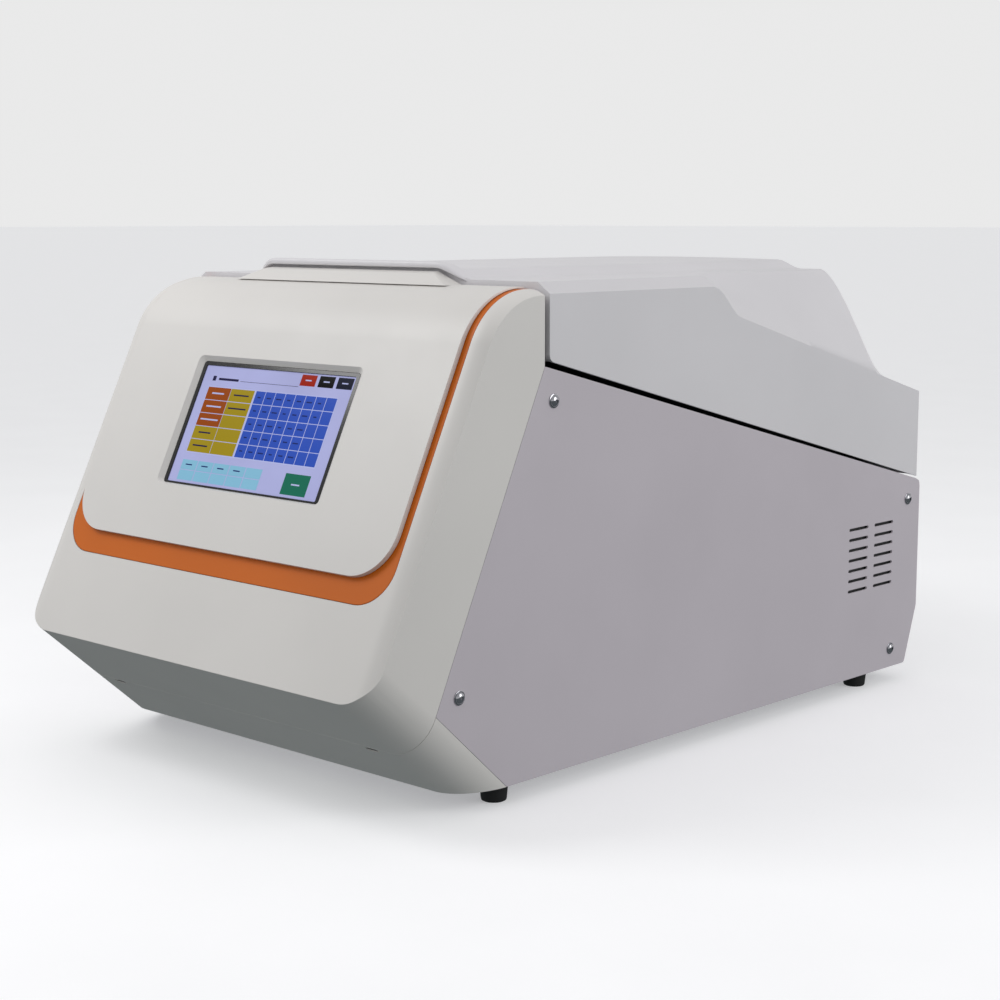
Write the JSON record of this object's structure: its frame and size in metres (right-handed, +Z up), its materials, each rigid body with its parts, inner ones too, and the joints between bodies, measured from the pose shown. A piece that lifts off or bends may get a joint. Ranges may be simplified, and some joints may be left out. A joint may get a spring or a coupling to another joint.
{
  "type": "thermal cycler",
  "caption": "Benchtop thermal cycler: sloping front with a touch screen, wedge-shaped rear-hinged lid over a heated plate and well block, vented steel sides, rubber feet.",
  "frame": {"origin": "centre of the bounding box on the plane that the feet stand on", "axes": "+X to the viewer's right, +Y from the screen to the rear panel, +Z up"},
  "size_m": [0.3686, 0.6288, 0.3505],
  "materials": {
    "panel_steel": "satin powder coat",
    "cover_plastic": "satin moulded, light warm grey",
    "lid_plastic": "satin moulded, light grey",
    "accent_orange": "satin orange",
    "display_black": "gloss black",
    "display_glass": "clear cover glass over a lit panel",
    "plated_steel": "zinc plated",
    "spring_steel": "bright spring wire",
    "circuit_board": "solder mask",
    "deck_plastic": "matt dark grey moulding",
    "block_black": "matt heat-resistant moulding",
    "aluminium_plain": "machined",
    "heated_aluminium": "hard anodised",
    "ceramic_white": "alumina",
    "black_plastic": "matt black",
    "socket_metal": "nickel plated shell",
    "rubber_black": "matt black",
    "screw_chrome": "polished"
  },
  "bodies": {
    "base": {"bottom_pan": "panel_steel", "rear_panel": "panel_steel", "side_panel_left": "panel_steel", "side_panel_right": "panel_steel", "front_bezel": "cover_plastic", "front_chin": "cover_plastic", "front_plate": "cover_plastic", "accent_trim": "accent_orange", "display_frame": "display_black", "touch_display": "display_glass", "display_bracket": "plated_steel", "fan_bulkhead": "plated_steel", "power_supply": "plated_steel", "hinge_leaf_base_left": "plated_steel", "hinge_leaf_base_right": "plated_steel", "hinge_pin_left": "plated_steel", "hinge_pin_right": "plated_steel", "control_board": "circuit_board", "inner_deck": "deck_plastic", "block_frame": "block_black", "sample_block": "aluminium_plain", "heatsink": "aluminium_plain", "peltier_module_1": "ceramic_white", "peltier_module_2": "ceramic_white", "peltier_module_3": "ceramic_white", "peltier_module_4": "ceramic_white", "power_inlet": "black_plastic", "fan_frame_left": "black_plastic", "fan_frame_right": "black_plastic", "lid_magnet": "black_plastic", "usb_socket": "socket_metal", "network_socket": "socket_metal", "lid_bumper_left": "rubber_black", "lid_bumper_right": "rubber_black", "foot_front_left": "rubber_black", "foot_front_right": "rubber_black", "foot_rear_left": "rubber_black", "foot_rear_right": "rubber_black", "screw_front_upper_left": "screw_chrome", "screw_front_upper_right": "screw_chrome", "screw_front_lower_left": "screw_chrome", "screw_front_lower_right": "screw_chrome", "screw_rear_upper_left": "screw_chrome", "screw_rear_upper_right": "screw_chrome", "screw_rear_lower_left": "screw_chrome", "screw_rear_lower_right": "screw_chrome"},
    "lid": {"lid_shell": "lid_plastic", "lid_liner": "deck_plastic", "plate_carrier": "plated_steel", "strike_plate": "plated_steel", "hinge_leaf_lid_left": "plated_steel", "hinge_leaf_lid_right": "plated_steel", "plate_spring_1": "spring_steel", "plate_spring_2": "spring_steel", "plate_spring_3": "spring_steel", "plate_spring_4": "spring_steel"},
    "heater": {"heated_plate": "heated_aluminium"},
    "switch": {"power_switch": "black_plastic"},
    "rotor_left": {"fan_rotor_left": "black_plastic"},
    "rotor_right": {"fan_rotor_right": "black_plastic"}
  },
  "joints": [
    {"name": "lid_hinge", "type": "hinge", "parent": "base", "child": "lid", "pos_m": [0, 0.3078, 0.1637], "axis": [-1, 0, 0], "range_deg": [0, 68]},
    {"name": "heater_float", "type": "slide", "parent": "lid", "child": "heater", "axis": [0, 0, 1], "range_m": [0, 0.006], "stiffness_N_per_m": 5000, "springref_m": -0.003, "deforming": ["plate_spring_1", "plate_spring_2", "plate_spring_3", "plate_spring_4"]},
    {"name": "switch_rocker", "type": "hinge", "parent": "base", "child": "switch", "pos_m": [0.112, 0.3068, 0.1107], "axis": [1, 0, 0], "range_deg": [0, 14]},
    {"name": "fan_spin_left", "type": "hinge", "parent": "base", "child": "rotor_left", "pos_m": [-0.043, 0.0548, 0.1707], "axis": [0, 1, 0], "continuous": true},
    {"name": "fan_spin_right", "type": "hinge", "parent": "base", "child": "rotor_right", "pos_m": [0.043, 0.0548, 0.1707], "axis": [0, 1, 0], "continuous": true}
  ]
}
